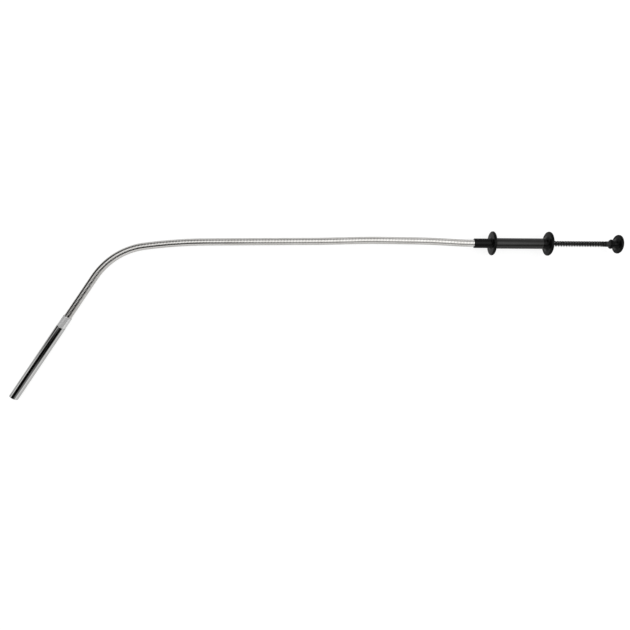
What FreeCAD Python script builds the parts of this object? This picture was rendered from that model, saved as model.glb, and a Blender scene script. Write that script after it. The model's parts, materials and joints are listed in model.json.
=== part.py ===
# Flexible claw pick-up tool, lying at rest on a bench. Millimetres, +Z up.
# A thumb button pushes a wire through a bend-and-stay shaft, and the wire pushes four claws out of a tube.
import FreeCAD, Part
import math
import os

from FreeCAD import Placement, Rotation, Vector

# Clearances: radial ones of fits, then the gap left between faces that come end to end
running_play = 0.06
loose_play = 0.15
glue_line = 0.03
stop_gap = 0.05

# Rounding of the turned metal pieces' edges, and of thin ones
turned_edge = 0.3
thin_edge = 0.1

# Grip: a barrel between two finger flanges, with a sleeve in front for the shaft
flange_d = 21.2
flange_rim = 2.6
flange_pitch = 49.6
sleeve_root = 1.8
front_root = 0.9
front_collar_len = 1.3
flare_r = 3.0
rear_collar_len = 4.0
barrel_d = 9.3
barrel_wall = 1.45
barrel_edge = 0.25
sleeve_wall = 1.025
sleeve_len = 16.1
sleeve_edge = 0.5
shaft_depth = 13.5
spigot_len = 5.0

# Guide for the plunger rod, and the seat of its spring, in the rear flange
rod_d = 2.5
bush_d = 4.4
bush_len = 8.0
washer_d = 6.2
washer_t = 0.6

# Return spring
spring_d = 5.0
spring_wire = 1.1
spring_pitch = 2.35
spring_end_gap = 0.5
spring_len = 49.0

# Thumb button and the ferrule that its spring bears on
seat_d = 4.9
seat_len = 3.4
seat_lip_d = 5.7
seat_lip = 0.8
ring_d = 8.3
ring_t = 1.7
hub_d = 6.4
hub_len = 4.2
button_d = 16.5
button_rim = 2.4
button_dome = 1.1
button_flare_r = 3.0
rod_grip_in_button = 6.0

# Coupler that joins the rod to the push wire, inside the barrel
coupler_d = 5.6
coupler_len = 9.3
rod_in_coupler = 6.0
wire_in_coupler = 3.0
stroke_room = 0.35

# Bend-and-stay shaft, from its winding inwards
shaft_d = 6.35
winding_wall = 0.7
core_wall = 0.85
liner_play = 0.045
liner_d_in = 1.75
wire_d = 1.5

# Shape of the shaft from the sleeve's mouth: straight run, bend radius and turn in degrees, which is
# positive towards the tip's side
sleeve_side_bends = [
    (2.1, 250.0, -2.9),
    (12.0, 600.0, 2.5),
    (28.0, 600.0, 2.0),
    (30.0, 600.0, -0.9),
]
long_run = 94.0
easy_bend_r = 450.0
easy_bend_turn = 7.2
main_bend_r = 63.0
main_bend_turn = 48.6
leg_run = 42.3

# Tip: ferrule, tube and the claw hub that slides in it
ferrule_wall = 0.625
ferrule_len = 10.6
ferrule_edge = 0.35
ferrule_grip = 5.0
ferrule_spigot = 6.0
tube_d = 7.94
tube_wall = 0.62
tube_len = 75.4
tube_edge = 0.3
claw_hub_tail = 4.8
claw_slot_depth = 4.0
claw_slot_play = 0.08
claw_slot_core = 0.68
wire_sleeve_d = 2.8
wire_sleeve_len = 6.0
wire_sleeve_in_hub = 3.6
wire_in_hub = 3.0

# Claws: a straight run, an easy bend outwards, a second run, then a hook inwards with a tail.
# They turn about their roots, which stay inside the tube at full travel.
claw_count = 4
claw_wire = 0.8
claw_r = 1.2
claw_root = 0.3
claw_root_inside = 2.0
claw_head_len = 6.7
claw_bend_r = 6.0
claw_bend_turn = 8.0
claw_second_run = 3.2
claw_hook_r = 1.2
claw_hook_turn = 82.0
claw_tail = 0.3
claw_room = 0.137

# Diameters, radii and places that follow from the values above
sleeve_d = shaft_d + 2 * sleeve_wall
ferrule_d = shaft_d + 2 * ferrule_wall
spring_end_pitch = spring_wire + spring_end_gap
barrel_r_in = barrel_d / 2 - barrel_wall
shaft_r = shaft_d / 2
winding_r_in = shaft_r - winding_wall
core_r = winding_r_in - glue_line
tube_r_in = tube_d / 2 - tube_wall
flange_half = flange_rim / 2
mouth_x = -sleeve_len
barrel_x0 = flange_half + front_collar_len
barrel_x1 = flange_pitch - flange_half - rear_collar_len
front_spigot_x = barrel_x0 + spigot_len
rear_spigot_x = barrel_x1 - spigot_len
rear_face_x = flange_pitch + flange_half
seat_x = rear_face_x + spring_len
ring_x = seat_x + seat_len + seat_lip
disc_x = ring_x + ring_t + hub_len
coupler_x1 = rear_spigot_x - stop_gap
coupler_x0 = coupler_x1 - coupler_len
travel = coupler_x0 - front_spigot_x - stroke_room
claw_pivot_depth = travel + claw_root_inside
claw_run = claw_pivot_depth - claw_head_len
liner_r = core_r - core_wall - liner_play
liner_hole_r = liner_r + running_play
tube_w0 = ferrule_len + stop_gap
tube_w1 = tube_w0 + tube_len
pivot_w = tube_w1 - claw_pivot_depth
hub_w0 = pivot_w - claw_hub_tail
hub_w1 = pivot_w + claw_slot_depth
wire_end_w = hub_w0 - wire_sleeve_len + wire_sleeve_in_hub + wire_in_hub

# How far a claw turns out, in radians for each millimetre of travel: half way out, where it spreads
# most inside the tube, its back keeps its room to the wall
claw_spread = tube_r_in - claw_r - claw_wire / 2 - claw_room
claw_turn_per_mm = 4 * claw_spread / claw_pivot_depth**2


def rounded_edges(corners):
    """Edges of a closed outline of (x, r) or (x, r, corner radius), in the XY plane."""
    points = [Vector(c[0], c[1], 0) for c in corners]
    radii = [c[2] if len(c) > 2 else 0.0 for c in corners]
    ends = []
    arcs = []
    for i, point in enumerate(points):
        to_last = (points[i - 1] - point).normalize()
        to_next = (points[(i + 1) % len(points)] - point).normalize()
        if radii[i] == 0:
            ends.append((point, point))
            arcs.append(None)
            continue
        half = to_last.getAngle(to_next) / 2
        inwards = (to_last + to_next).normalize()
        start = point + to_last * (radii[i] / math.tan(half))
        stop = point + to_next * (radii[i] / math.tan(half))
        middle = point + inwards * (radii[i] / math.sin(half) - radii[i])
        ends.append((start, stop))
        arcs.append(Part.Arc(start, middle, stop).toShape())
    edges = []
    for i, arc in enumerate(arcs):
        if arc:
            edges.append(arc)
        leave = ends[i][1]
        arrive = ends[(i + 1) % len(ends)][0]
        if (arrive - leave).Length > 1e-6:
            edges.append(Part.LineSegment(leave, arrive).toShape())
    return edges


def turned(corners):
    """Solid turned about the X axis from a closed outline."""
    face = Part.Face(Part.Wire(rounded_edges(corners)))
    return face.revolve(Vector(0, 0, 0), Vector(1, 0, 0), 360)


def tube(x0, x1, outer_r, inner_r, edge=0.0):
    """Plain tube along X, with its outer edges rounded."""
    return turned([(x0, inner_r), (x0, outer_r, edge), (x1, outer_r, edge), (x1, inner_r)])


def rod(x0, x1, radius, edge=0.0):
    """Plain rod along X, with its edges rounded."""
    return turned([(x0, 0), (x0, radius, edge), (x1, radius, edge), (x1, 0)])


def bent_line(start, heading, bends, tail):
    """Edges of a bent line in the XY plane, its last point and its last heading in degrees."""
    edges = []
    point = start
    for run, radius, turn in bends:
        along = Vector(math.cos(math.radians(heading)), math.sin(math.radians(heading)), 0)
        if run:
            edges.append(Part.LineSegment(point, point + along * run).toShape())
            point = point + along * run
        side = math.copysign(1, turn)
        centre = point + Vector(-along.y, along.x, 0) * (side * radius)
        spoke = point - centre
        middle = centre + Rotation(Vector(0, 0, 1), turn / 2).multVec(spoke)
        stop = centre + Rotation(Vector(0, 0, 1), turn).multVec(spoke)
        edges.append(Part.Arc(point, middle, stop).toShape())
        point = stop
        heading += turn
    along = Vector(math.cos(math.radians(heading)), math.sin(math.radians(heading)), 0)
    edges.append(Part.LineSegment(point, point + along * tail).toShape())
    return edges, point + along * tail, heading


def swept(edges, radius):
    """Round bar of one radius along joined edges."""
    path = Part.Wire(edges)
    start = edges[0].valueAt(edges[0].FirstParameter)
    along = edges[0].tangentAt(edges[0].FirstParameter)
    section = Part.Wire(Part.Circle(start, along, radius).toShape())
    return path.makePipeShell([section], True, False)


def shaft_bends():
    """All the shaft's bends from the sleeve's mouth to its leg."""
    return sleeve_side_bends + [
        (long_run, easy_bend_r, easy_bend_turn),
        (0.0, main_bend_r, main_bend_turn),
    ]


def shaft_line(inner_end_x, past_leg):
    """Edges of the shaft's own line from a place in the grip to a place past its straight leg."""
    bends = shaft_bends()
    run, radius, turn = bends[0]
    bends[0] = (run + inner_end_x - mouth_x, radius, turn)
    return bent_line(Vector(inner_end_x, 0, 0), 180, bends, leg_run + past_leg)


def leg_frame():
    """Place whose X runs down the tip's axis from the ferrule's rear end."""
    end, heading = shaft_line(mouth_x, 0)[1:]
    return Placement(end, Rotation(Vector(0, 0, 1), heading))


def nose_flange():
    """Front moulding: sleeve for the shaft, finger flange and the spigot in the barrel."""
    barrel_r = barrel_d / 2
    shaft_bore = shaft_r + glue_line
    shoulder_x = mouth_x + shaft_depth + stop_gap
    return turned([
        (mouth_x, shaft_bore),
        (mouth_x, sleeve_d / 2, sleeve_edge),
        (-flange_half, sleeve_d / 2, sleeve_root),
        (-flange_half, flange_d / 2, flange_half),
        (flange_half, flange_d / 2, flange_half),
        (flange_half, barrel_r, front_root),
        (barrel_x0, barrel_r, barrel_edge),
        (barrel_x0, barrel_r_in - glue_line),
        (front_spigot_x, barrel_r_in - glue_line, barrel_edge),
        (front_spigot_x, liner_hole_r),
        (shoulder_x, liner_hole_r),
        (shoulder_x, shaft_bore),
    ])


def rear_flange():
    """Rear moulding: finger flange, spigot in the barrel, seats for the bush and the washer."""
    barrel_r = barrel_d / 2
    bush_bore = bush_d / 2 + glue_line
    rod_hole = rod_d / 2 + loose_play
    bush_end_x = rear_spigot_x + bush_len + stop_gap
    washer_x = rear_face_x - washer_t
    return turned([
        (rear_spigot_x, bush_bore),
        (rear_spigot_x, barrel_r_in - glue_line, barrel_edge),
        (barrel_x1, barrel_r_in - glue_line),
        (barrel_x1, barrel_r, barrel_edge),
        (flange_pitch - flange_half, barrel_r, flare_r),
        (flange_pitch - flange_half, flange_d / 2, flange_half),
        (rear_face_x, flange_d / 2, flange_half),
        (rear_face_x, washer_d / 2 + running_play),
        (washer_x, washer_d / 2 + running_play),
        (washer_x, rod_hole),
        (bush_end_x, rod_hole),
        (bush_end_x, bush_bore),
    ])


def thumb_button():
    """Moulded button: ring, hub and a domed disc, on a blind hole for the rod."""
    hole_r = rod_d / 2 + glue_line
    rim_r = button_d / 2
    face_x = disc_x + button_rim
    disc = turned([
        (ring_x, hole_r),
        (ring_x, ring_d / 2, ring_t / 2),
        (ring_x + ring_t, ring_d / 2, ring_t / 2),
        (ring_x + ring_t, hub_d / 2, turned_edge),
        (disc_x, hub_d / 2, button_flare_r),
        (disc_x, rim_r, button_rim / 2),
        (face_x, rim_r, button_rim / 2),
        (face_x, 0),
        (ring_x + rod_grip_in_button, 0),
        (ring_x + rod_grip_in_button, hole_r),
    ])
    cap_r = rim_r - button_rim / 2
    sphere_r = (cap_r**2 + button_dome**2) / (2 * button_dome)
    sphere = Part.makeSphere(sphere_r, Vector(face_x + button_dome - sphere_r, 0, 0))
    below = face_x - button_rim / 4
    dome = sphere.common(Part.makeCylinder(cap_r, sphere_r, Vector(below, 0, 0), Vector(1, 0, 0)))
    return disc.fuse(dome).removeSplitter()


def arc_from(start, along, stop):
    """Arc that leaves one point in a given direction and ends at another, and its end direction."""
    chord = stop - start
    side = along - chord * (along.dot(chord) / chord.dot(chord))
    lean = along.getAngle(chord)
    middle = (start + stop) * 0.5 + side.normalize() * (chord.Length / 2 * math.tan(lean / 2))
    flat = chord * (along.dot(chord) / chord.dot(chord) * 2)
    return Part.Arc(start, middle, stop).toShape(), (flat - along).normalize()


def biarc(start, along, stop, along_at_stop):
    """Two arcs that join two points and match the directions there."""
    gap = stop - start
    both = along + along_at_stop
    bend = 2 * (1 - along.dot(along_at_stop))
    reach = (-gap.dot(both) + math.sqrt(gap.dot(both) ** 2 + bend * gap.dot(gap))) / bend
    join = (start + stop + (along - along_at_stop) * reach) * 0.5
    first, along_at_join = arc_from(start, along, join)
    second = arc_from(join, along_at_join, stop)[0]
    return [first, second]


def spring_height(turn, turns):
    """Distance along the spring after some turns: its end turns are wound closer than the rest."""
    slow = min(turn, 1.0) + max(turn - turns + 1.0, 0.0)
    return spring_end_pitch * slow + spring_pitch * (turn - slow)


def spring_line():
    """Edges of the spring's wire, and points along them for measuring its gap to itself."""
    mean_r = (spring_d - spring_wire) / 2
    room = spring_len - spring_wire - 2 * stop_gap
    turns = (room - 2 * spring_end_pitch) / spring_pitch + 2
    start_x = rear_face_x + spring_wire / 2 + stop_gap
    steps = 4 * math.ceil(turns)
    points = []
    for step in range(steps + 1):
        turn = turns * step / steps
        angle = 2 * math.pi * turn
        x = start_x + spring_height(turn, turns)
        points.append(Vector(x, mean_r * math.cos(angle), mean_r * math.sin(angle)))
    alongs = []
    for step in range(steps + 1):
        angle = 2 * math.pi * turns * step / steps
        before = spring_height(max(turns * (step - 1) / steps, 0), turns)
        after = spring_height(min(turns * (step + 1) / steps, turns), turns)
        span = min(step + 1, steps) - max(step - 1, 0)
        rise = (after - before) / (2 * math.pi * turns * span / steps)
        round_part = Vector(0, -math.sin(angle), math.cos(angle)) * mean_r
        alongs.append((round_part + Vector(rise, 0, 0)).normalize())
    edges = []
    for step in range(steps):
        edges += biarc(points[step], alongs[step], points[step + 1], alongs[step + 1])
    return edges, turns


def least_gap(edges, diameter, turns):
    """Least gap between neighbouring turns of a wound wire, measured on points of its own line."""
    samples = []
    for edge in edges:
        span = edge.LastParameter - edge.FirstParameter
        samples += [edge.valueAt(edge.FirstParameter + span * k / 4) for k in range(4)]
    half_turn = int(len(samples) / turns / 2)
    apart = [
        (samples[i] - samples[j]).Length
        for i in range(len(samples))
        for j in range(i + half_turn, min(i + 3 * half_turn, len(samples)))
    ]
    return min(apart) - diameter


def return_spring():
    """Return spring between the rear flange's washer and the button's ferrule."""
    edges, turns = spring_line()
    gap = least_gap(edges, spring_wire, turns)
    print(f"spring: {turns:.1f} turns, least gap to itself {gap:.2f} mm")
    return swept(edges, spring_wire / 2)


def wire_coupler():
    """Coupler with the rod in one end and the push wire in the other."""
    return turned([
        (coupler_x0, wire_d / 2 + running_play),
        (coupler_x0, coupler_d / 2, turned_edge),
        (coupler_x1, coupler_d / 2, turned_edge),
        (coupler_x1, rod_d / 2 + glue_line),
        (coupler_x1 - rod_in_coupler, rod_d / 2 + glue_line),
        (coupler_x1 - rod_in_coupler, 0),
        (coupler_x0 + wire_in_coupler + stop_gap, 0),
        (coupler_x0 + wire_in_coupler + stop_gap, wire_d / 2 + running_play),
    ])


def hollow_shaft(outer_r, inner_r):
    """One layer of the shaft, from its end in the sleeve to its end in the ferrule."""
    edges = shaft_line(mouth_x + shaft_depth, ferrule_grip)[0]
    return swept(edges, outer_r).cut(swept(edges, inner_r))


def wire_liner():
    """Liner that guides the push wire from the front spigot to the ferrule's spigot."""
    edges = shaft_line(front_spigot_x, ferrule_len + ferrule_spigot)[0]
    return swept(edges, liner_r).cut(swept(edges, liner_d_in / 2))


def push_wire():
    """Push wire from the coupler to the claw hub."""
    edges = shaft_line(coupler_x0 + wire_in_coupler, wire_end_w)[0]
    return swept(edges, wire_d / 2)


def tip_ferrule():
    """Bright ferrule that joins the shaft to the tip tube."""
    shaft_bore = shaft_r + glue_line
    shoulder_w = ferrule_grip + stop_gap
    spigot_r = tube_r_in - glue_line
    return turned([
        (0, shaft_bore),
        (0, ferrule_d / 2, ferrule_edge),
        (ferrule_len, ferrule_d / 2, ferrule_edge / 2),
        (ferrule_len, spigot_r),
        (ferrule_len + ferrule_spigot, spigot_r, ferrule_edge),
        (ferrule_len + ferrule_spigot, liner_hole_r),
        (shoulder_w, liner_hole_r),
        (shoulder_w, shaft_bore),
    ])


def claw_hub():
    """Piston in the tip tube, slotted in front for the claws."""
    hub_r = tube_r_in - running_play
    sleeve_r = wire_sleeve_d / 2 + glue_line
    hub = turned([
        (hub_w0, sleeve_r),
        (hub_w0, hub_r, turned_edge),
        (hub_w1, hub_r, turned_edge),
        (hub_w1, 0),
        (hub_w0 + wire_sleeve_in_hub + stop_gap, 0),
        (hub_w0 + wire_sleeve_in_hub + stop_gap, sleeve_r),
    ])
    slot_w = pivot_w - claw_root - claw_wire / 2
    width = claw_wire + 2 * claw_slot_play
    for index in range(claw_count):
        slot = Part.makeBox(hub_w1 - slot_w + 1, hub_r + 1, width, Vector(slot_w, claw_slot_core, -width / 2))
        slot.rotate(Vector(0, 0, 0), Vector(1, 0, 0), 360 * index / claw_count)
        hub = hub.cut(slot)
    return hub


def wire_end_sleeve():
    """Crimped sleeve that holds the push wire's end in the claw hub."""
    x0 = hub_w0 + wire_sleeve_in_hub - wire_sleeve_len
    return tube(x0, x0 + wire_sleeve_len, wire_sleeve_d / 2, wire_d / 2 + running_play, thin_edge)


def claw(index):
    """One spring claw, in the closed place inside the tube."""
    start = Vector(pivot_w - claw_root, claw_r, 0)
    bends = [(claw_run, claw_bend_r, claw_bend_turn), (claw_second_run, claw_hook_r, -claw_hook_turn)]
    solid = swept(bent_line(start, 0, bends, claw_tail)[0], claw_wire / 2)
    solid.rotate(Vector(0, 0, 0), Vector(1, 0, 0), 360 * index / claw_count)
    return solid


def claw_name(index):
    """Node name of a claw."""
    return f"claw_{index + 1}"


def grip_pieces():
    """Pieces along the grip's axis, and the layers that follow the shaft."""
    bush_r_in = rod_d / 2 + running_play
    washer_r_in = rod_d / 2 + loose_play
    rod_x0 = coupler_x1 - rod_in_coupler + stop_gap
    rod_x1 = ring_x + rod_grip_in_button - stop_gap
    return {
        "nose_flange": nose_flange(),
        "grip_barrel": tube(barrel_x0, barrel_x1, barrel_d / 2, barrel_r_in, barrel_edge),
        "rear_flange": rear_flange(),
        "rod_guide_bush": tube(rear_spigot_x, rear_spigot_x + bush_len, bush_d / 2, bush_r_in, thin_edge),
        "spring_washer": tube(rear_face_x - washer_t, rear_face_x, washer_d / 2, washer_r_in, thin_edge),
        "return_spring": return_spring(),
        "seat_ferrule": turned([
            (seat_x, rod_d / 2 + glue_line),
            (seat_x, seat_d / 2, turned_edge),
            (seat_x + seat_len, seat_d / 2),
            (seat_x + seat_len, seat_lip_d / 2, thin_edge),
            (ring_x, seat_lip_d / 2, turned_edge),
            (ring_x, rod_d / 2 + glue_line),
        ]),
        "thumb_button": thumb_button(),
        "plunger_rod": rod(rod_x0, rod_x1, rod_d / 2, turned_edge),
        "wire_coupler": wire_coupler(),
        "shaft_winding": hollow_shaft(shaft_r, winding_r_in),
        "shaft_core_coil": hollow_shaft(core_r, core_r - core_wall),
        "wire_liner": wire_liner(),
        "push_wire": push_wire(),
    }


def tip_pieces():
    """Pieces along the tip's axis, with X running down it from the ferrule's rear end."""
    pieces = {
        "tip_ferrule": tip_ferrule(),
        "tip_tube": tube(tube_w0, tube_w1, tube_d / 2, tube_r_in, tube_edge),
        "claw_hub": claw_hub(),
        "wire_end_sleeve": wire_end_sleeve(),
    }
    for index in range(claw_count):
        pieces[claw_name(index)] = claw(index)
    return pieces


def main_bend_centre():
    """Centre of the main bend's arc."""
    bends = shaft_bends()
    end, heading = bent_line(Vector(mouth_x, 0, 0), 180, bends[:-1], 0.001)[1:]
    angle = math.radians(heading)
    return end + Vector(-math.sin(angle), math.cos(angle), 0) * main_bend_r


def resting_plane():
    """Slope and height of the tool's own plane as it lies on three places.

    They are the front flange, the main bend, and the rear end of the tip tube or of a ferrule that is
    fatter than the tube. A point of that plane is steepness * uphill . point + lift above the bench."""
    flange = Vector(0, 0, 0)
    bend = main_bend_centre()
    flange_r = flange_d / 2
    tip_r = max(tube_d, ferrule_d) / 2
    tip_w = tube_w0 + tube_edge if tube_d >= ferrule_d else ferrule_edge
    tip = leg_frame().multVec(Vector(tip_w, 0, 0))
    share = (shaft_r - tip_r) / (flange_r - tip_r)
    reach = (bend - tip) - (flange - tip) * share
    angle = math.atan2(reach.y, reach.x) - math.acos(main_bend_r / reach.Length)
    uphill = Vector(math.cos(angle), math.sin(angle), 0)
    steepness = (flange_r - tip_r) / uphill.dot(flange - tip)
    return uphill, steepness, tip_r - steepness * uphill.dot(tip)


def lay_down():
    """Place that lays the tool on the bench."""
    uphill, steepness, lift = resting_plane()
    axis = Vector(uphill.y, -uphill.x, 0)
    turn = Rotation(axis, math.degrees(math.asin(steepness)))
    return Placement(Vector(0, 0, lift), turn)


def all_pieces():
    """Every piece by node name, in the tool's own plane with the grip's axis along X."""
    pieces = grip_pieces()
    leg = leg_frame()
    for name, solid in tip_pieces().items():
        solid.Placement = leg.multiply(solid.Placement)
        pieces[name] = solid
    return pieces


def bench_frame(pieces):
    """Place that lays the tool down with its box's bottom centre at the origin."""
    lay = lay_down()
    box = FreeCAD.BoundBox()
    for solid in pieces.values():
        laid = solid.copy()
        laid.Placement = lay.multiply(solid.Placement)
        box.add(laid.optimalBoundingBox(False, False))
    shift = Vector(-(box.XMin + box.XMax) / 2, -(box.YMin + box.YMax) / 2, -box.ZMin)
    print(f"box {box.XLength:.2f} x {box.YLength:.2f} x {box.ZLength:.2f} mm, low point {box.ZMin:.3f} mm")
    return Placement(shift, Rotation()).multiply(lay)


def claw_pivot(index):
    """Pivot of a claw at its root and the axis that it turns out about, with X down the tip's axis."""
    spin = Rotation(Vector(1, 0, 0), 360 * index / claw_count)
    return spin.multVec(Vector(pivot_w, claw_r, 0)), spin.multVec(Vector(0, 0, 1))


def least_claw_room(steps=44):
    """Least room between the back of an opening claw and the wall at the tube's mouth."""
    rooms = []
    for step in range(steps + 1):
        out = travel * step / steps
        spread = (claw_pivot_depth - out) * math.tan(claw_turn_per_mm * out)
        rooms.append(tube_r_in - claw_r - claw_wire / 2 - spread)
    return min(rooms)


def print_motion(frame):
    """Print the joints' axes and places, and the room that the moving pieces keep."""
    leg = frame.multiply(leg_frame())
    print("button slides along", frame.Rotation.multVec(Vector(-1, 0, 0)))
    print("claw hub slides along", leg.Rotation.multVec(Vector(1, 0, 0)))
    for index in range(claw_count):
        pivot, axis = claw_pivot(index)
        print(claw_name(index), "turns at", leg.multVec(pivot), "about", leg.Rotation.multVec(axis))
    coupler_room = coupler_x0 - travel - front_spigot_x
    print(f"room left: coupler {coupler_room:.2f} mm, claws in the tube {least_claw_room():.2f} mm")


def main():
    """Write one STEP file for each node."""
    os.makedirs("parts", exist_ok=True)
    pieces = all_pieces()
    frame = bench_frame(pieces)
    print_motion(frame)
    for name, solid in pieces.items():
        solid.Placement = frame.multiply(solid.Placement)
        solid.exportStep(f"parts/{name}.step")
    return frame


frame = main()
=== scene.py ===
# %% [markdown]
# # A flexible claw pick-up tool
#
# This tool reaches a dropped screw through a gap that no hand fits in. A thumb button at one end
# pushes a wire through a shaft that stays as it is bent, and the wire pushes four sprung claws out
# of a steel tube at the other end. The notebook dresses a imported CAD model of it: the CAD pieces
# give every place and size, and the cells below give each piece its fine mesh and its finish.
# The tool's sizes are in millimetres, as on a drawing, and become metres where they are used. Only
# the studio round it, which is a room and not a part, is written in metres.

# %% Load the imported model
import json
import math

import bmesh
import bpy
from mathutils import Matrix, Vector


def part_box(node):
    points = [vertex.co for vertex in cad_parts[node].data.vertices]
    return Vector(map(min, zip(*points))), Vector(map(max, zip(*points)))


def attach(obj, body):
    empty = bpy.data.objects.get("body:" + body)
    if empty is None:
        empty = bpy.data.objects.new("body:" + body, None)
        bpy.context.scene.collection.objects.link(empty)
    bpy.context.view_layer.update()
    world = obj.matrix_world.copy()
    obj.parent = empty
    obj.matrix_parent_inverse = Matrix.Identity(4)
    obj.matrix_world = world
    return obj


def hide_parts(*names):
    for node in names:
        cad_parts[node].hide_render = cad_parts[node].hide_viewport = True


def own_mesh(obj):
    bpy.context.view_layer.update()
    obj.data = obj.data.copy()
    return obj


MM = 0.001
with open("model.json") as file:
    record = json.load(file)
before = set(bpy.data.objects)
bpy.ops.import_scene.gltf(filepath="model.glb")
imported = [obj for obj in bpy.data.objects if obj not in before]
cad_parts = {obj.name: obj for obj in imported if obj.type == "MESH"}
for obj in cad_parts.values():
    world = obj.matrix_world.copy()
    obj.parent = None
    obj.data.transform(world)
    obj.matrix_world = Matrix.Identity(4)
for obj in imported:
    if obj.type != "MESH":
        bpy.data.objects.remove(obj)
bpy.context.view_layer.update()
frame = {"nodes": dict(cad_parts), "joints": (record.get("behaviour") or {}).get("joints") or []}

# %% [markdown]
# ## Finding the tool's own axes
#
# The tool lies on a bench, a little tilted, so none of its axes is a world axis. Its joints know
# the two that matter: the button slides along the grip, and the claw hub slides down the tip. The
# third axis is square to both and points off the bench. Places along the grip are then written as
# on a drawing, in millimetres from the middle of the front flange.

# %% Axes of the grip and the tip
joint_axes = {joint["name"]: Vector(joint["axis"]).normalized() for joint in frame["joints"]}
along_grip = -joint_axes["plunger_slide"]
down_tip = joint_axes["claw_carrier_slide"]
off_bench = down_tip.cross(along_grip).normalized()
across_grip = off_bench.cross(along_grip)
across_tip = off_bench.cross(down_tip)


def middle_of(node):
    """Middle of a CAD node's box, which for a straight round piece is the middle of its axis."""
    low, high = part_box(node)
    return (low + high) / 2


print("grip axis", along_grip, "tip axis", down_tip)

# %% Places along the grip and along the tip
seam_gap = 0.05
glue_line = 0.03
barrel_front = 2.6
barrel_back = 44.3
grip_origin = middle_of("grip_barrel") - along_grip * ((barrel_front + barrel_back) / 2 * MM)
ferrule_length = 10.6
tube_length = 75.4
tube_start = ferrule_length + seam_gap
tip_origin = middle_of("tip_tube") - down_tip * ((tube_start + tube_length / 2) * MM)


def on_grip(x, y, z):
    """Place in the row frame of a point given in millimetres from the front flange's middle."""
    return grip_origin + (along_grip * x + across_grip * y + off_bench * z) * MM


def on_tip(x, y, z):
    """Place in the row frame of a point given in millimetres from the ferrule's rear end."""
    return tip_origin + (down_tip * x + across_tip * y + off_bench * z) * MM


print("grip starts at", grip_origin, "tip starts at", tip_origin)

# %% [markdown]
# ## A lathe for the turned and moulded pieces
#
# Nearly every piece here is round about an axis. Spinning a drawn outline gives exact control of
# each edge, so a rim can be a true half round and a root a true fillet. A Screw modifier could spin
# it too, but building the mesh directly leaves it closed, evenly divided and free of seams.

# %% Outline with rounded corners
def rounded_outline(corners, steps=7):
    """Closed outline of (x, r) points from corners given as (x, r) or (x, r, corner radius)."""
    outline = []
    for index, corner in enumerate(corners):
        point = Vector(corner[:2])
        if len(corner) == 2:
            outline.append(point)
            continue
        before = Vector(corners[index - 1][:2]) - point
        after = Vector(corners[(index + 1) % len(corners)][:2]) - point
        before.normalize()
        after.normalize()
        half = before.angle(after) / 2
        reach = corner[2] / math.tan(half)
        centre = point + (before + after).normalized() * (corner[2] / math.sin(half))
        first = point + before * reach - centre
        last = point + after * reach - centre
        sweep = first.angle_signed(last)
        for step in range(steps + 1):
            turned = Matrix.Rotation(-sweep * step / steps, 2) @ first
            outline.append(centre + turned)
    return outline


# %% Mesh helpers
weld_distance = 0.0005 * MM
sharp_angle = math.radians(40)


def new_piece(name, build_mesh):
    """New object from a bmesh, smooth but for its sharp edges."""
    bmesh.ops.remove_doubles(build_mesh, verts=build_mesh.verts, dist=weld_distance)
    bmesh.ops.recalc_face_normals(build_mesh, faces=build_mesh.faces)
    mesh = bpy.data.meshes.new(name)
    build_mesh.to_mesh(mesh)
    build_mesh.free()
    mesh.polygons.foreach_set("use_smooth", [True] * len(mesh.polygons))
    mesh.set_sharp_from_angle(angle=sharp_angle)
    piece = bpy.data.objects.new(name, mesh)
    bpy.context.scene.collection.objects.link(piece)
    print(name, len(mesh.polygons), "faces")
    return piece


def skin_rings(build_mesh, rings, close_ends=True):
    """Quads between neighbouring rings of points, with a flat cap on each end if asked."""
    rows = [[build_mesh.verts.new(point) for point in ring] for ring in rings]
    count = len(rows[0])
    for row, next_row in zip(rows, rows[1:]):
        for k in range(count):
            following = (k + 1) % count
            build_mesh.faces.new((row[k], row[following], next_row[following], next_row[k]))
    if close_ends:
        build_mesh.faces.new(list(reversed(rows[0])))
        build_mesh.faces.new(rows[-1])


# %% Lathe with an optional parting line
parting_height = 0.05
parting_half_angle = math.radians(1.3)


def lathe(name, corners, place, sides=96, parting=False):
    """Piece turned from an outline, with the fine raised line of a two-part mould if asked.

    The line never stands out past the widest place, so the piece stays as large as its CAD node.
    """
    outline = rounded_outline(corners)
    widest = max(r for _, r in outline)
    angles = [2 * math.pi * k / sides for k in range(sides)]
    lines = [0.0, math.pi] if parting else []
    for line in lines:
        angles += [line - parting_half_angle, line + parting_half_angle]
    angles = sorted(angle % (2 * math.pi) for angle in angles)
    rings = []
    for angle in angles:
        on_line = any(abs(angle - line) < 1e-6 for line in lines)
        ring = []
        for x, r in outline:
            radius = min(r + parting_height, widest) if on_line and r > 0 else r
            ring.append(place(x, radius * math.cos(angle), radius * math.sin(angle)))
        rings.append(ring)
    build_mesh = bmesh.new()
    skin_rings(build_mesh, rings + [rings[0]], close_ends=False)
    return new_piece(name, build_mesh)


# %% [markdown]
# ## The nose moulding
#
# The front of the grip is one black moulding. Its sleeve holds the shaft, its flange stops two
# fingers, and a spigot behind it is glued into the barrel. A moulding like this leaves its two-part
# mould with a hair of a line on each side, so the lathe raises one. It stands for the CAD piece.

# %% Nose moulding
flange_radius = 10.6
flange_half = 1.3
sleeve_radius = 4.2
sleeve_length = 16.1
barrel_radius = 4.65
barrel_bore = 3.2
shaft_radius = 3.175
spigot_length = 5.0
sleeve_depth = 13.5
sleeve_floor = sleeve_depth - sleeve_length + seam_gap
liner_hole = 1.61
sleeve_edge = 0.5
rim_edge = 1.29
crisp_edge = 0.3
broken_edge = 0.2
nose_fillet = 1.8

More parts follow.
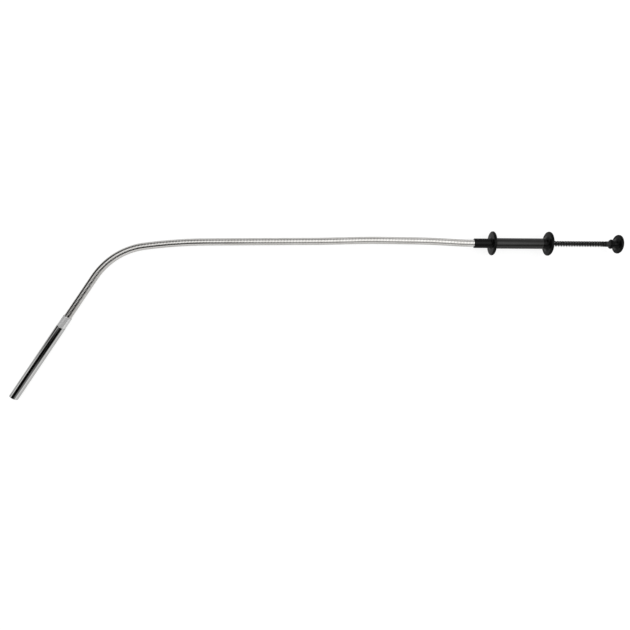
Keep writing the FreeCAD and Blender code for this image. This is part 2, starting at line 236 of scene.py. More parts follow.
nose_moulding = lathe("nose_moulding", [
    (-sleeve_length, shaft_radius + glue_line),
    (-sleeve_length, sleeve_radius, sleeve_edge),
    (-flange_half, sleeve_radius, nose_fillet),
    (-flange_half, flange_radius, rim_edge),
    (flange_half, flange_radius, rim_edge),
    (flange_half, barrel_radius, nose_fillet / 2),
    (barrel_front - seam_gap, barrel_radius, crisp_edge),
    (barrel_front - seam_gap, barrel_bore - glue_line),
    (barrel_front + spigot_length, barrel_bore - glue_line),
    (barrel_front + spigot_length, liner_hole),
    (sleeve_floor, liner_hole),
    (sleeve_floor, shaft_radius + glue_line),
], on_grip, parting=True)
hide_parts("nose_flange")
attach(nose_moulding, "tool_body")

# %% [markdown]
# ## The barrel
#
# The fingers wrap this tube. It is enamelled metal, so its ends are crisp and it has no parting
# line. Its two ends stop a hair short of the mouldings, which draws the fine dark seams of the
# real grip without any texture.

# %% Barrel
barrel = lathe("barrel", [
    (barrel_front, barrel_bore),
    (barrel_front, barrel_radius, crisp_edge),
    (barrel_back, barrel_radius, crisp_edge),
    (barrel_back, barrel_bore),
], on_grip)
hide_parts("grip_barrel")
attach(barrel, "tool_body")

# %% [markdown]
# ## The rear moulding
#
# Behind the barrel the grip flares like a trumpet into the rear flange, and the flare catches the
# light in a soft fan. One generous corner radius in the outline is all it takes. The recess at the
# back seats the spring's washer.

# %% Rear moulding
flange_pitch = 49.6
rear_face = flange_pitch + flange_half
rod_hole = 1.4
washer_seat = 3.16
washer_thickness = 0.6
bush_bore = 2.23
bush_length = 8.0
bush_end = barrel_back - spigot_length + bush_length + seam_gap
trumpet_fillet = 3.0

rear_moulding = lathe("rear_moulding", [
    (barrel_back - spigot_length, bush_bore),
    (barrel_back - spigot_length, barrel_bore - glue_line),
    (barrel_back + seam_gap, barrel_bore - glue_line),
    (barrel_back + seam_gap, barrel_radius, crisp_edge),
    (flange_pitch - flange_half, barrel_radius, trumpet_fillet),
    (flange_pitch - flange_half, flange_radius, rim_edge),
    (rear_face, flange_radius, rim_edge),
    (rear_face, washer_seat, broken_edge),
    (rear_face - washer_thickness, washer_seat),
    (rear_face - washer_thickness, rod_hole),
    (bush_end, rod_hole),
    (bush_end, bush_bore),
], on_grip, parting=True)
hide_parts("rear_flange")
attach(rear_moulding, "tool_body")

# %% [markdown]
# ## The thumb button
#
# The button is a ring, a hub and a flared disc in one moulding. Its thumb side is a low dome with
# the small round scar where the mould's gate was snapped off. Drawing the dome as points on a
# circle keeps its highlight clean, where a scaled sphere would pinch at the pole.

# %% Thumb button
spring_length = 49.0
spring_seat = rear_face + spring_length
seat_ferrule_length = 4.2
ring_start = spring_seat + seat_ferrule_length
ring_thickness = 1.7
ring_radius = 4.15
ring_edge = 0.84
hub_radius = 3.2
hub_length = 4.2
hub_fillet = 3.0
disc_start = ring_start + ring_thickness + hub_length
disc_rim = 2.4
disc_edge = 1.19
disc_radius = 8.25
dome_height = 1.1
dome_radius = disc_radius - disc_rim / 2
gate_radius = 0.8
gate_depth = 0.12
rod_radius = 1.25
rod_socket = 6.0
dome_steps = 12
ball_radius = (dome_radius**2 + dome_height**2) / (2 * dome_height)


def dome_x(r):
    """Height of the button's dome at a radius, along the grip."""
    drop = ball_radius - math.sqrt(ball_radius**2 - r**2)
    return disc_start + disc_rim + dome_height - drop


dome_radii = [dome_radius * k / dome_steps for k in range(dome_steps - 1, 1, -1)]
dome_line = [(dome_x(r), r) for r in dome_radii]
thumb_button = lathe("thumb_button_moulding", [
    (ring_start, rod_radius + glue_line),
    (ring_start, ring_radius, ring_edge),
    (ring_start + ring_thickness, ring_radius, ring_edge),
    (ring_start + ring_thickness, hub_radius, crisp_edge),
    (disc_start, hub_radius, hub_fillet),
    (disc_start, disc_radius, disc_edge),
    (disc_start + disc_rim, disc_radius, disc_edge),
    *dome_line,
    (dome_x(gate_radius), gate_radius),
    (dome_x(gate_radius) - gate_depth, gate_radius * 0.9),
    (dome_x(gate_radius) - gate_depth, 0),
    (ring_start + rod_socket, 0),
    (ring_start + rod_socket, rod_radius + glue_line),
], on_grip, parting=True)
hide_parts("thumb_button")
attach(thumb_button, "plunger")

# %% [markdown]
# ## Wound wires
#
# The return spring and the shaft are both wire, wound round a line. A bevelled curve would be
# quicker to write, but it twists its rings where the line bends. Here each ring of the wire is
# placed from two directions that are always known: straight out from the middle line, and square
# to both that and the wire itself.

# %% Wire laid ring by ring
def squared(value, squareness):
    """Cosine or sine pushed outwards, which makes a circle's outline squarer."""
    return math.copysign(abs(value) ** (2 / squareness), value)


def wire_rings(centres, outwards, half_height, half_width, squareness, sides):
    """Rings of a wire through its centres, each turned so that its first side faces outwards."""
    rings = []
    for index, (centre, outward) in enumerate(zip(centres, outwards)):
        ahead = centres[min(index + 1, len(centres) - 1)] - centres[max(index - 1, 0)]
        sideways = ahead.cross(outward).normalized()
        square_out = sideways.cross(ahead).normalized()
        ring = []
        for k in range(sides):
            angle = 2 * math.pi * k / sides
            out = square_out * (squared(math.cos(angle), squareness) * half_height)
            side = sideways * (squared(math.sin(angle), squareness) * half_width)
            ring.append(centre + out + side)
        rings.append(ring)
    return rings


def wire_piece(name, centres, outwards, sizes, squareness, sides):
    """One closed wire of a height and width, round at a squareness of 2 and flatter above it."""
    half_height, half_width = (size / 2 * MM for size in sizes)
    rings = wire_rings(centres, outwards, half_height, half_width, squareness, sides)
    build_mesh = bmesh.new()
    skin_rings(build_mesh, rings)
    return new_piece(name, build_mesh)


# %% [markdown]
# ## The return spring
#
# The black spring pushes the button back out. Its last turn at each end is wound closer, to sit
# flat on its seat, and the rest stands open. When the button is pressed the real spring gets
# shorter, but this one keeps its length.

# %% Return spring
spring_wire = 1.1
spring_outside = 5.0
spring_radius = (spring_outside - spring_wire) / 2
spring_sides = 14
round_wire = 2
open_pitch = 2.35
end_pitch = 1.6
spring_room = spring_length - spring_wire - 2 * seam_gap
spring_turns = (spring_room - 2 * end_pitch) / open_pitch + 2
steps_a_turn = 40


def spring_height(turn):
    """How far along the spring its wire is after some turns."""
    close = min(turn, 1.0) + max(turn - spring_turns + 1.0, 0.0)
    return end_pitch * close + open_pitch * (turn - close)


spring_start = rear_face + spring_wire / 2 + seam_gap
spring_centres = []
spring_outwards = []
for step in range(round(spring_turns * steps_a_turn) + 1):
    turn = min(step / steps_a_turn, spring_turns)
    angle = 2 * math.pi * turn
    outward = across_grip * math.cos(angle) + off_bench * math.sin(angle)
    on_axis = on_grip(spring_start + spring_height(turn), 0, 0)
    spring_centres.append(on_axis + outward * spring_radius * MM)
    spring_outwards.append(outward)
spring = wire_piece(
    "return_spring_coil", spring_centres, spring_outwards, (spring_wire, spring_wire),
    round_wire, spring_sides,
)
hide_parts("return_spring")
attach(spring, "tool_body")
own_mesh(spring)

# %% [markdown]
# ## The line of the shaft
#
# The shaft was bent by hand and has stayed so: nearly straight for most of its length, with one
# strong bend before the tip. A drawn curve would follow it too, but nobody could check it. So it is
# written as a few stretches, each a straight run and then an arc with its radius in millimetres and
# its turn in degrees, as a pipe bender is told. One small function then finds any place along it.

# %% Stretches of the shaft
sleeve_mouth_run = 2.1
shaft_bends = [
    (sleeve_mouth_run + sleeve_depth, 250.0, -2.9),
    (12.0, 600.0, 2.5),
    (28.0, 600.0, 2.0),
    (30.0, 600.0, -0.9),
    (94.0, 450.0, 7.2),
    (0.0, 63.0, 48.6),
]
leg_run = 42.3
ferrule_grip = 5.0


def stretches_of(bends, last_run):
    """Each stretch's start, heading, length and turn a millimetre, in the tool's own plane."""
    start = Vector((sleeve_depth - sleeve_length, 0))
    heading = math.pi
    found = []
    for run, radius, turn in [*bends, (last_run, 1.0, 0.0)]:
        arc = math.radians(abs(turn)) * radius
        rate = math.copysign(1 / radius, turn)
        for length, bend_rate in ((run, 0.0), (arc, rate)):
            if length > 0:
                found.append((start, heading, length, bend_rate))
                start, heading = walk(start, heading, length, bend_rate)
    return found


def walk(start, heading, length, rate):
    """Point and heading after going some way along a straight or an arc."""
    if rate == 0:
        return start + Vector((math.cos(heading), math.sin(heading))) * length, heading
    end = heading + rate * length
    side = Vector((math.sin(end) - math.sin(heading), math.cos(heading) - math.cos(end)))
    return start + side / rate, end


shaft_stretches = stretches_of(shaft_bends, leg_run + ferrule_grip)
shaft_length = sum(stretch[2] for stretch in shaft_stretches)


def shaft_at(distance):
    """Point on the shaft's middle line, and its heading there, some millimetres along it."""
    left = distance
    for start, heading, length, rate in shaft_stretches[:-1]:
        if left <= length:
            break
        left -= length
    else:
        start, heading, length, rate = shaft_stretches[-1]
    point, heading = walk(start, heading, left, rate)
    return on_grip(point.x, point.y, 0), heading


shaft_end = shaft_at(shaft_length)[0]
off_axis = (shaft_end - tip_origin - down_tip * ferrule_grip * MM).length
print("shaft", round(shaft_length, 1), "mm long")
print("its end misses the tip's axis by", round(off_axis / MM, 3), "mm")

# %% [markdown]
# ## The shaft's winding
#
# The shaft looks like a solid rod from afar, but it is wire, wound close. Its grooves break every
# reflection into a soft silky band, which no bump on a plain tube does as well from all sides. So
# each turn is real: one wire, more than three hundred turns long, that follows the bend.

# %% Shaft winding
winding_pitch = 1.3
winding_width = 1.28
winding_height = 0.62
winding_steps = 26
winding_sides = 12
winding_squareness = 5.0


def shaft_winding():
    """The shaft's outer wire as one piece."""
    mean_radius = shaft_radius - winding_height / 2
    room = shaft_length - winding_width
    count = round(room / winding_pitch * winding_steps)
    centres = []
    outwards = []
    for step in range(count + 1):
        point, heading = shaft_at(winding_width / 2 + room * step / count)
        side = across_grip * math.cos(heading) - along_grip * math.sin(heading)
        angle = 2 * math.pi * step / winding_steps
        outward = side * math.cos(angle) + off_bench * math.sin(angle)
        centres.append(point + outward * mean_radius * MM)
        outwards.append(outward)
    print("shaft winding has", round(count / winding_steps), "turns")
    sizes = (winding_height, winding_width)
    return wire_piece("shaft_wire", centres, outwards, sizes, winding_squareness, winding_sides)


shaft_wire = shaft_winding()
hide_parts("shaft_winding")
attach(shaft_wire, "tool_body")

# %% [markdown]
# ## Ferrule and tip tube
#
# A bright nickel ferrule joins the shaft to a polished steel tube. The tube is a little fatter, so a
# fine step shows between them. Both are turned pieces. Their small edge radii matter more than
# anything else on them, because they carry the thin bright lines at the ends.

# %% Tip ferrule
tube_radius = 3.97
tube_bore = 3.35
ferrule_radius = 3.8
ferrule_edge = 0.35
ferrule_front_edge = 0.17
tube_spigot = 6.0
ferrule = lathe("tip_ferrule_shell", [
    (0, shaft_radius + glue_line),
    (0, ferrule_radius, ferrule_edge),
    (ferrule_length, ferrule_radius, ferrule_front_edge),
    (ferrule_length, tube_bore - glue_line),
    (ferrule_length + tube_spigot, tube_bore - glue_line, ferrule_edge),
    (ferrule_length + tube_spigot, liner_hole),
    (ferrule_grip + seam_gap, liner_hole),
    (ferrule_grip + seam_gap, shaft_radius + glue_line),
], on_tip)
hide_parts("tip_ferrule")
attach(ferrule, "tool_body")

# %% Tip tube
tube_end = tube_start + tube_length
tip_tube = lathe("tip_tube_shell", [
    (tube_start, tube_bore),
    (tube_start, tube_radius, crisp_edge),
    (tube_end, tube_radius, crisp_edge),
    (tube_end, tube_bore, broken_edge),
], on_tip, sides=128)
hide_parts("tip_tube")
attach(tip_tube, "tool_body")

# %% [markdown]
# ## The claws
#
# Four hooked spring wires wait just inside the tube's mouth. Each is one line, drawn in the plane
# that holds the tube's axis: a straight run, an easy bend outwards, a second run, and the hook. The
# runs and arcs are written as the shaft's are. The CAD model's joints turn the claws about their
# roots as they come out, so each rides on its own body.

# %% Claw line and claws
claw_count = 4
claw_wire = 0.8
claw_sides = 14
claw_root_radius = 1.2
claw_root = tube_end - 24.3
claw_line = [(17.3, 6.0, 8.0), (3.2, 1.2, -82.0)]
claw_tail = 0.3
claw_step = 0.25
cap_reach = 0.15 * claw_wire
claw_cap = [(-1, 0.35), (-0.7, 0.75), (0, 1.0)]


def claw_points():
    """Points of a claw's line as (along the tip, out from its axis), and the heading at each."""
    start = Vector((claw_root, claw_root_radius))
    heading = 0.0
    points = [(start, heading)]
    for run, radius, turn in [*claw_line, (claw_tail, 1.0, 0.0)]:
        arc = math.radians(abs(turn)) * radius
        for length, rate in ((run, 0.0), (arc, math.copysign(1 / radius, turn))):
            parts = math.ceil(length / claw_step)
            for part in range(1, parts + 1):
                points.append(walk(start, heading, length * part / parts, rate))
            if length > 0:
                start, heading = points[-1]
    return points


def claw_piece(index):
    """One claw with rounded ends, turned round the tip's axis to its place."""
    angle = 2 * math.pi * index / claw_count
    rings = []
    line = claw_points()
    profile = [(line[0], shift + 1, size) for shift, size in claw_cap]
    profile += [(spot, 0, 1.0) for spot in line[1:-1]]
    profile += [(line[-1], -1 - shift, size) for shift, size in reversed(claw_cap)]
    for (point, heading), shift, size in profile:
        ahead = Vector((math.cos(heading), math.sin(heading)))
        middle = point + ahead * (shift * cap_reach)
        ring = []
        for k in range(claw_sides):
            turn = 2 * math.pi * k / claw_sides
            out = middle + Vector((-ahead.y, ahead.x)) * (math.cos(turn) * size * claw_wire / 2)
            side = math.sin(turn) * size * claw_wire / 2
            y = out.y * math.cos(angle) - side * math.sin(angle)
            z = out.y * math.sin(angle) + side * math.cos(angle)
            ring.append(on_tip(out.x, y, z))
        rings.append(ring)
    build_mesh = bmesh.new()
    skin_rings(build_mesh, rings)
    return new_piece(f"claw_{index + 1}_wire", build_mesh)


claws = [claw_piece(index) for index in range(claw_count)]
for index, claw in enumerate(claws):
    body = f"claw_{index + 1}"
    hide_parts(body)
    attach(claw, body)

# %% [markdown]
# ## Finishes
#
# Every finish starts from the same small kit: a material with its shader, noise that runs in the
# piece's own coordinates, and a ramp that turns the noise into a colour or a roughness. A noise's
# scale is in waves a metre, so 1000 gives a grain of about a millimetre. Numbers that are the same
# all over a surface are set on the shader itself.

# %% Finish kit
def new_finish(name, **values):
    """New material, its node tree and its shader with some constant values set."""
    material = bpy.data.materials.new(name)
    material.use_nodes = True
    tree = material.node_tree
    shader = tree.nodes["Principled BSDF"]
    for socket, value in values.items():
        label = socket.replace("_", " ").title().replace("Ior", "IOR")
        shader.inputs[label].default_value = value
    print("finish", name)
    return material, tree, shader


def grain(tree, scale, detail=3.0):
    """Noise in the piece's own coordinates, as a value socket."""
    place = tree.nodes.new("ShaderNodeTexCoord")
    noise = tree.nodes.new("ShaderNodeTexNoise")
    noise.inputs["Scale"].default_value = scale
    noise.inputs["Detail"].default_value = detail
    tree.links.new(place.outputs["Object"], noise.inputs["Vector"])
    return noise.outputs["Fac"]


def ramp(tree, source, low, high, start=0.35, end=0.65):
    """Colour ramp between two colours or greys over part of its input's range."""
    node = tree.nodes.new("ShaderNodeValToRGB")
    for element, position, value in zip(node.color_ramp.elements, (start, end), (low, high)):
        element.position = position
        element.color = (*value, 1) if isinstance(value, tuple) else (value, value, value, 1)
    tree.links.new(source, node.inputs["Fac"])
    return node.outputs["Color"]


def bump(tree, shader, source, depth_mm, strength):
    """Bump of a real depth on the shader."""
    node = tree.nodes.new("ShaderNodeBump")
    node.inputs["Distance"].default_value = depth_mm * MM
    node.inputs["Strength"].default_value = strength
    tree.links.new(source, node.inputs["Height"])
    tree.links.new(node.outputs["Normal"], shader.inputs["Normal"])


def wear(tree, low, high):
    """White on the convex edges that hands rub, black elsewhere."""
    shape = tree.nodes.new("ShaderNodeNewGeometry")
    return ramp(tree, shape.outputs["Pointiness"], 0.0, 1.0, low, high)


def blend_colours(tree, factor, first, second):
    """Mix of two colour sockets by a factor socket."""
    node = tree.nodes.new("ShaderNodeMix")
    node.data_type = "RGBA"
    tree.links.new(factor, node.inputs["Factor"])
    tree.links.new(first, node.inputs["A"])
    tree.links.new(second, node.inputs["B"])
    return node.outputs["Result"]


# %% [markdown]
# ### Black moulding
#
# The mouldings are black plastic with a smooth skin that reflects weakly, so their highlights are
# narrow and dim. Fine cloudiness in the roughness keeps a highlight from looking sprayed on, and
# the rims that fingers rub are a shade greyer. A plain black would look like a hole in the picture.

# %% Black moulding
def black_moulding_finish():
    """Black moulded plastic, rubbed at the rims."""
    material, tree, shader = new_finish("black_moulding", specular_ior_level=0.13)
    cloud = grain(tree, 260.0)
    rubbed = wear(tree, 0.52, 0.62)
    plain = ramp(tree, cloud, (0.003, 0.003, 0.003), (0.006, 0.006, 0.006))
    worn = ramp(tree, cloud, (0.009, 0.009, 0.009), (0.018, 0.018, 0.018))
    tree.links.new(blend_colours(tree, rubbed, plain, worn), shader.inputs["Base Color"])
    tree.links.new(ramp(tree, cloud, 0.13, 0.20), shader.inputs["Roughness"])
    bump(tree, shader, grain(tree, 2600.0, detail=2.0), 0.01, 0.35)
    return material


black_moulding = black_moulding_finish()

# %% [markdown]
# ### Satin enamel
#
# The barrel is painted steel. Enamel flows before it dries, so it has a faint orange peel, wider
# than any moulding grain, and it reflects more strongly than the plastic beside it, which gives the
# grip its long grey streak.

# %% Barrel enamel
def barrel_enamel_finish():
    """Satin black enamel with a faint orange peel."""
    material, tree, shader = new_finish("barrel_enamel", specular_ior_level=0.5)
    cloud = grain(tree, 180.0)
    paint = ramp(tree, cloud, (0.006, 0.006, 0.005), (0.011, 0.011, 0.010))
    tree.links.new(paint, shader.inputs["Base Color"])
    tree.links.new(ramp(tree, cloud, 0.15, 0.22), shader.inputs["Roughness"])
    bump(tree, shader, grain(tree, 900.0, detail=1.0), 0.02, 0.3)
    return material


barrel_enamel = barrel_enamel_finish()

# %% [markdown]
# ### Black spring and dark steel
#
# The spring is blackened in oil and the rod inside it is blackened steel. The black is a thin skin
# that hides most of the metal, so the shader is only a fifth metallic and keeps a dull gleam. On
# the spring the black is rubbed thin on the outside of each turn.

# %% Blackened metals
def blackened_finish(name, dark, rubbed_colour, roughness):
    """Blackened steel, rubbed brighter on its convex places."""
    material, tree, shader = new_finish(name, metallic=0.2, specular_ior_level=0.3)
    cloud = grain(tree, 420.0)
    rubbed = wear(tree, 0.50, 0.66)
    plain = ramp(tree, cloud, dark, tuple(value * 1.6 for value in dark))
    worn = ramp(tree, cloud, tuple(value * 0.7 for value in rubbed_colour), rubbed_colour)
    gleam = ramp(tree, cloud, roughness - 0.06, roughness + 0.08)
    tree.links.new(blend_colours(tree, rubbed, plain, worn), shader.inputs["Base Color"])
    tree.links.new(gleam, shader.inputs["Roughness"])
    bump(tree, shader, grain(tree, 3200.0, detail=2.0), 0.006, 0.3)
    return material


black_spring = blackened_finish(
    "black_spring", dark=(0.012, 0.012, 0.012), rubbed_colour=(0.045, 0.044, 0.042), roughness=0.38
)
dark_steel = blackened_finish(
    "dark_steel", dark=(0.020, 0.020, 0.020), rubbed_colour=(0.060, 0.060, 0.058), roughness=0.34
)

# %% [markdown]
# ### Bright metals
#
# The wound wire, the nickel ferrule, the polished tube and the parts inside are one recipe with
# different numbers: a metal whose roughness wanders a little, whose colour wanders with it, and
# whose surface keeps the fine marks of its making. One function with named numbers shows at a
# glance how the finishes differ, which a separate node tree for each would hide.

# %% Bright metals
def bright_finish(name, low, high, roughness, spread, mark_scale, mark_depth, metallic=1.0):
    """Bright bare metal with the marks of its making; a blasted one is less than fully metallic."""
    material, tree, shader = new_finish(name, metallic=metallic)
    cloud = grain(tree, 90.0)
    tree.links.new(ramp(tree, cloud, low, high), shader.inputs["Base Color"])
    marks = grain(tree, mark_scale, detail=2.0)
    tree.links.new(ramp(tree, marks, roughness, roughness + spread), shader.inputs["Roughness"])
    bump(tree, shader, marks, mark_depth, 0.4)
    return material


wound_steel = bright_finish(
    "wound_steel", low=(0.82, 0.80, 0.77), high=(0.90, 0.885, 0.86),
    roughness=0.10, spread=0.06, mark_scale=1800.0, mark_depth=0.003,
)
polished_tube = bright_finish(
    "polished_tube", low=(0.76, 0.76, 0.75), high=(0.82, 0.82, 0.81),
    roughness=0.06, spread=0.05, mark_scale=900.0, mark_depth=0.001,
)
bright_nickel = bright_finish(
    "bright_nickel", low=(0.93, 0.93, 0.93), high=(0.97, 0.97, 0.96),
    roughness=0.24, spread=0.08, mark_scale=1400.0, mark_depth=0.002, metallic=0.5,
)
claw_steel = bright_finish(
    "claw_steel", low=(0.60, 0.60, 0.59), high=(0.70, 0.70, 0.69),
    roughness=0.22, spread=0.08, mark_scale=2400.0, mark_depth=0.004,
)
inner_steel = bright_finish(
    "inner_steel", low=(0.38, 0.38, 0.37), high=(0.46, 0.46, 0.45),
    roughness=0.35, spread=0.1, mark_scale=1600.0, mark_depth=0.004,
)
turned_brass = bright_finish(
    "turned_brass", low=(0.66, 0.48, 0.22), high=(0.78, 0.60, 0.31),
    roughness=0.22, spread=0.12, mark_scale=2000.0, mark_depth=0.004,
)

# %% [markdown]
# ### Liner plastic
#
# The push wire runs in a pale, waxy plastic tube. A little light goes into such plastic and comes
# out again beside where it went in, so the shader scatters a tenth of it below the surface.

# %% Liner plastic
def liner_finish():
    """Natural slippery plastic of the wire's liner."""
    material, tree, shader = new_finish("pale_liner", subsurface_weight=0.1)
    cloud = grain(tree, 300.0)
    milk = ramp(tree, cloud, (0.78, 0.78, 0.74), (0.86, 0.86, 0.83))
    tree.links.new(milk, shader.inputs["Base Color"])
    tree.links.new(ramp(tree, cloud, 0.35, 0.5), shader.inputs["Roughness"])
    return material


pale_liner = liner_finish()

# %% [markdown]
# ## Dressing the pieces
#
# Each new piece gets its finish, and so does each CAD piece that is still shown or that a moving
# joint may bring into view: the rod, the spring's seats, and the hub and wires inside the tip.

# %% Dress
finishes = {
    black_moulding: [nose_moulding, rear_moulding, thumb_button],
    barrel_enamel: [barrel],
    black_spring: [spring],
    wound_steel: [shaft_wire],
    bright_nickel: [ferrule],
    polished_tube: [tip_tube],
    claw_steel: claws,
}
cad_finishes = {
    "seat_ferrule": dark_steel,
    "plunger_rod": dark_steel,
    "spring_washer": dark_steel,
    "rod_guide_bush": turned_brass,
    "wire_coupler": turned_brass,
    "claw_hub": turned_brass,
    "shaft_core_coil": inner_steel,
    "push_wire": inner_steel,
    "wire_end_sleeve": inner_steel,
    "wire_liner": pale_liner,
}
for finish, pieces in finishes.items():
    for piece in pieces:
        piece.data.materials.clear()
        piece.data.materials.append(finish)
for node, finish in cad_finishes.items():
    for slot in frame["nodes"][node].material_slots:
        slot.material = finish
new_count = sum(len(pieces) for pieces in finishes.values())
print("dressed", new_count, "new and", len(cad_finishes), "CAD pieces")

# %% [markdown]
# ## The white studio
#
# The tool lies on plain white under soft, even light. What shapes polished metal is not the lamps
# but what it mirrors. So reflections see a nearly white room with what a product studio has round
# its table: a grey strip along each long side, and a dark wall up to the left. They are fixed in
# the room, by direction only, and only glossy rays see them, so they take no light from the tool.

# %% Fields of the world
def field_round(tree, direction, axis, inner_degrees, outer_degrees, darkest):
    """Dark field round a direction of the room, soft between two angles."""
    dot = tree.nodes.new("ShaderNodeVectorMath")
    dot.operation = "DOT_PRODUCT"
    dot.inputs[1].default_value = Vector(axis).normalized()
    tree.links.new(direction, dot.inputs[0])
    soft = tree.nodes.new("ShaderNodeMapRange")
    soft.interpolation_type = "SMOOTHSTEP"
    soft.inputs["From Min"].default_value = math.cos(math.radians(outer_degrees))
    soft.inputs["From Max"].default_value = math.cos(math.radians(inner_degrees))
    soft.inputs["To Min"].default_value = 1.0
    soft.inputs["To Max"].default_value = darkest
    tree.links.new(dot.outputs["Value"], soft.inputs["Value"])
    return soft.outputs["Result"]


def field_along(tree, direction, tilt_degrees, inner_degrees, outer_degrees, darkest):
    """Dark strip along the grip, soft between two angles from the plane that it lies in."""
    tilt = math.radians(tilt_degrees)
    across_strip = tree.nodes.new("ShaderNodeVectorMath")
    across_strip.operation = "DOT_PRODUCT"
    across_strip.inputs[1].default_value = (0.0, math.cos(tilt), math.sin(tilt))
    tree.links.new(direction, across_strip.inputs[0])
    either_side = tree.nodes.new("ShaderNodeMath")
    either_side.operation = "ABSOLUTE"
    tree.links.new(across_strip.outputs["Value"], either_side.inputs[0])
    soft = tree.nodes.new("ShaderNodeMapRange")
    soft.interpolation_type = "SMOOTHSTEP"
    soft.inputs["From Min"].default_value = math.sin(math.radians(inner_degrees))
    soft.inputs["From Max"].default_value = math.sin(math.radians(outer_degrees))
    soft.inputs["To Min"].default_value = darkest
    soft.inputs["To Max"].default_value = 1.0
    tree.links.new(either_side.outputs["Value"], soft.inputs["Value"])
    return soft.outputs["Result"]


def multiplied(tree, first, second):
    """Product of two value sockets, or of a socket and a number."""
    node = tree.nodes.new("ShaderNodeMath")
    node.operation = "MULTIPLY"
    tree.links.new(first, node.inputs[0])
    if isinstance(second, float):
        node.inputs[1].default_value = second
    else:
        tree.links.new(second, node.inputs[1])
    return node.outputs["Value"]


# %% World
soft_light = 0.68
mirrored_white = 0.80

world = bpy.data.worlds.new("white_studio")
bpy.context.scene.world = world
world.use_nodes = True
sky = world.node_tree
sky.nodes.clear()
sky_direction = sky.nodes.new("ShaderNodeTexCoord").outputs["Generated"]
near_strip = field_along(
    sky, sky_direction, tilt_degrees=50, inner_degrees=9, outer_degrees=19, darkest=0.26
)
far_strip = field_along(
    sky, sky_direction, tilt_degrees=-56, inner_degrees=7, outer_degrees=20, darkest=0.50
)
left_wall = field_round(
    sky, sky_direction, axis=(-0.60, 0.66, 0.45), inner_degrees=18, outer_degrees=36, darkest=0.08
)
strips = multiplied(sky, near_strip, far_strip)
mirrored = multiplied(sky, multiplied(sky, strips, left_wall), mirrored_white)
light_path = sky.nodes.new("ShaderNodeLightPath")
seen = sky.nodes.new("ShaderNodeMix")
seen.inputs["A"].default_value = soft_light
sky.links.new(light_path.outputs["Is Glossy Ray"], seen.inputs["Factor"])
sky.links.new(mirrored, seen.inputs["B"])
straight = sky.nodes.new("ShaderNodeMath")
straight.operation = "MAXIMUM"
sky.links.new(light_path.outputs["Is Camera Ray"], straight.inputs[0])
sky.links.new(light_path.outputs["Is Transmission Ray"], straight.inputs[1])
level = sky.nodes.new("ShaderNodeMix")
level.inputs["B"].default_value = 1.0
sky.links.new(straight.outputs["Value"], level.inputs["Factor"])
sky.links.new(seen.outputs["Result"], level.inputs["A"])
background = sky.nodes.new("ShaderNodeBackground")
background.inputs["Color"].default_value = (1, 1, 1, 1)
sky.links.new(level.outputs["Result"], background.inputs["Strength"])
sky_out = sky.nodes.new("ShaderNodeOutputWorld")
sky.links.new(background.outputs["Background"], sky_out.inputs["Surface"])
print("world strength for diffuse light", soft_light)

# %% [markdown]
# ### The floor
#
# A white floor would throw light up at the tool and lift its dark side. So the floor's colour is a
# middle grey, which keeps the soft shadow, and a glow that only the camera sees brings it to white.
# Reflections see a weaker glow, so the metal mirrors a floor that is less bright than the page.

# %% Floor
floor_size = 6.0
floor_grey = 0.34
floor_glow = 0.81
mirrored_glow = 0.32


def white_floor():
    """Plain white floor that keeps the tool's soft shadow."""
    build_mesh = bmesh.new()
    bmesh.ops.create_grid(build_mesh, x_segments=1, y_segments=1, size=floor_size / 2)
    floor = new_piece("floor", build_mesh)
    material, tree, shader = new_finish("floor_white", roughness=0.9, specular_ior_level=0.0)
    shader.inputs["Base Color"].default_value = (floor_grey, floor_grey, floor_grey, 1)
    shader.inputs["Emission Color"].default_value = (1, 1, 1, 1)
    path = tree.nodes.new("ShaderNodeLightPath")
    for_camera = multiplied(tree, path.outputs["Is Camera Ray"], floor_glow)
    for_mirrors = multiplied(tree, path.outputs["Is Glossy Ray"], mirrored_glow)
    glow = tree.nodes.new("ShaderNodeMath")
    glow.operation = "ADD"
    tree.links.new(for_camera, glow.inputs[0])
    tree.links.new(for_mirrors, glow.inputs[1])
    tree.links.new(glow.outputs["Value"], shader.inputs["Emission Strength"])
    floor.data.materials.append(material)
    return floor


floor = white_floor()

# %% [markdown]
# ### Three black cards
#
# The tip is polished like a mirror, and a mirror in a white room looks like nothing at all. A
# photographer puts black cards near such metal. One hangs over the tip, and its reflection draws
# the tube as one crisp black core between two silver sides. One hangs over the bend and darkens
# its two edges, and one stands beside the leg between bend and ferrule. Only glossy rays see the
# cards here, so they give no shade, and their edges fade out as a card's do when it is out of
# focus. The world's dark fields can't do this, because they look the same from every place.

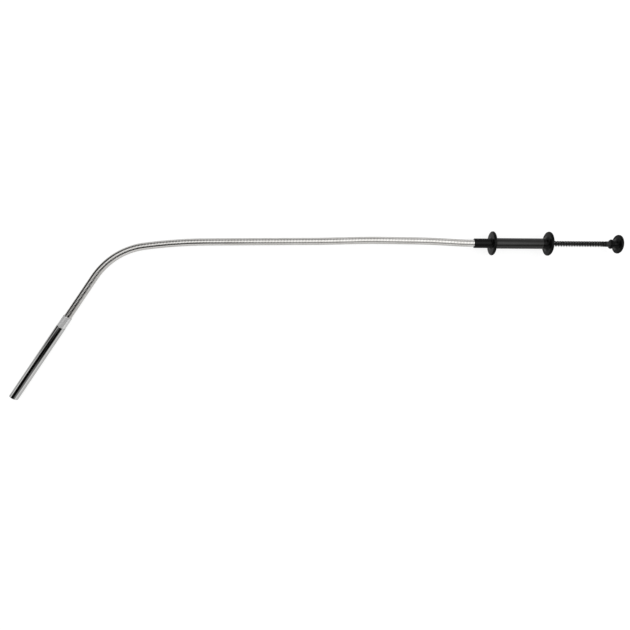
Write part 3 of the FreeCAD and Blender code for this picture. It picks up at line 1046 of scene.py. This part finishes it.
# %% Black cards
def black_card(name, middle, along, across, half_length, half_width, fade):
    """Card that only reflections see, with a soft edge."""
    build_mesh = bmesh.new()
    bmesh.ops.create_grid(build_mesh, x_segments=1, y_segments=1, size=1)
    card = new_piece(name, build_mesh)
    turn = Matrix((along, across, along.cross(across))).transposed().to_4x4()
    scale = Matrix.Diagonal((half_length * MM, half_width * MM, 1, 1))
    card.matrix_world = Matrix.Translation(middle) @ turn @ scale
    for ray in ("camera", "diffuse", "transmission", "volume_scatter", "shadow"):
        setattr(card, f"visible_{ray}", False)
    material = bpy.data.materials.new(name)
    material.use_nodes = True
    tree = material.node_tree
    tree.nodes.clear()
    place = tree.nodes.new("ShaderNodeTexCoord")
    distance = tree.nodes.new("ShaderNodeVectorMath")
    distance.operation = "LENGTH"
    tree.links.new(place.outputs["Object"], distance.inputs[0])
    edge = tree.nodes.new("ShaderNodeMapRange")
    edge.interpolation_type = "SMOOTHSTEP"
    edge.inputs["From Min"].default_value = 1 - fade
    edge.inputs["From Max"].default_value = 1.0
    tree.links.new(distance.outputs["Value"], edge.inputs["Value"])
    black = tree.nodes.new("ShaderNodeEmission")
    black.inputs["Strength"].default_value = 0.0
    clear = tree.nodes.new("ShaderNodeBsdfTransparent")
    mixed = tree.nodes.new("ShaderNodeMixShader")
    tree.links.new(edge.outputs["Result"], mixed.inputs["Fac"])
    tree.links.new(black.outputs["Emission"], mixed.inputs[1])
    tree.links.new(clear.outputs["BSDF"], mixed.inputs[2])
    out = tree.nodes.new("ShaderNodeOutputMaterial")
    tree.links.new(mixed.outputs["Shader"], out.inputs["Surface"])
    card.data.materials.append(material)
    return card


tip_card = black_card(
    "tip_card", on_tip(140, -16, 120), down_tip, across_tip,
    half_length=190, half_width=134, fade=0.55,
)
bend_card = black_card(
    "bend_card", on_grip(-296, -128, 100), along_grip, across_grip,
    half_length=116, half_width=130, fade=0.40,
)
leg_card = black_card(
    "leg_card", on_tip(-25, -45, 22), down_tip, off_bench,
    half_length=100, half_width=50, fade=0.60,
)

# %% [markdown]
# ### The softbox
#
# Light from the world alone comes from everywhere and leaves things flat. One large, weak softbox
# overhead adds a side that is a little brighter, and it is big enough for its shadow to stay soft.

# %% Softbox
def soft_lamp(name, place, sizes, watts):
    """Oblong lamp that faces the middle of the tool."""
    data = bpy.data.lights.new(name, "AREA")
    data.shape = "RECTANGLE"
    data.size, data.size_y = sizes
    data.energy = watts
    lamp = bpy.data.objects.new(name, data)
    lamp.location = place
    lamp.rotation_euler = (-Vector(place)).to_track_quat("-Z", "Y").to_euler()
    bpy.context.scene.collection.objects.link(lamp)
    print(name, watts, "W")


soft_lamp("overhead_softbox", place=(0.30, 0.26, 1.30), sizes=(1.4, 0.7), watts=2.2)

# %% [markdown]
# ## The camera
#
# The picture looks straight down on the tool from less than half a metre, so the flanges near its
# right edge show a little of their inner faces. The camera is placed from the tool's own axes,
# over the middle of the picture. Its lens and height together give the tool its measured size
# there, and it is turned by a hair, because the grip lies a fraction of a degree out of level.

# %% Camera
picture_width = 630
focal_pixels = 510.0
mm_per_pixel = 0.8848
sensor_width = 36.0
grip_slope = math.radians(0.4)
picture_middle = (-156.7, -63.4)

camera_data = bpy.data.cameras.new("camera")
camera_data.sensor_width = sensor_width
camera_data.lens = sensor_width * focal_pixels / picture_width
camera_data.clip_start = 10 * MM
camera = bpy.data.objects.new("camera", camera_data)
picture_right = along_grip * math.cos(grip_slope) + across_grip * math.sin(grip_slope)
picture_up = off_bench.cross(picture_right)
eye = grip_origin + off_bench * (focal_pixels * mm_per_pixel * MM)
eye += (picture_right * picture_middle[0] + picture_up * picture_middle[1]) * MM
turn = Matrix((picture_right, picture_up, off_bench)).transposed().to_4x4()
camera.matrix_world = Matrix.Translation(eye) @ turn
bpy.context.scene.collection.objects.link(camera)
bpy.context.scene.camera = camera
bpy.context.scene.view_settings.view_transform = "Standard"
print("camera", round(eye.z / MM), "mm above the bench, lens", round(camera_data.lens, 1), "mm")
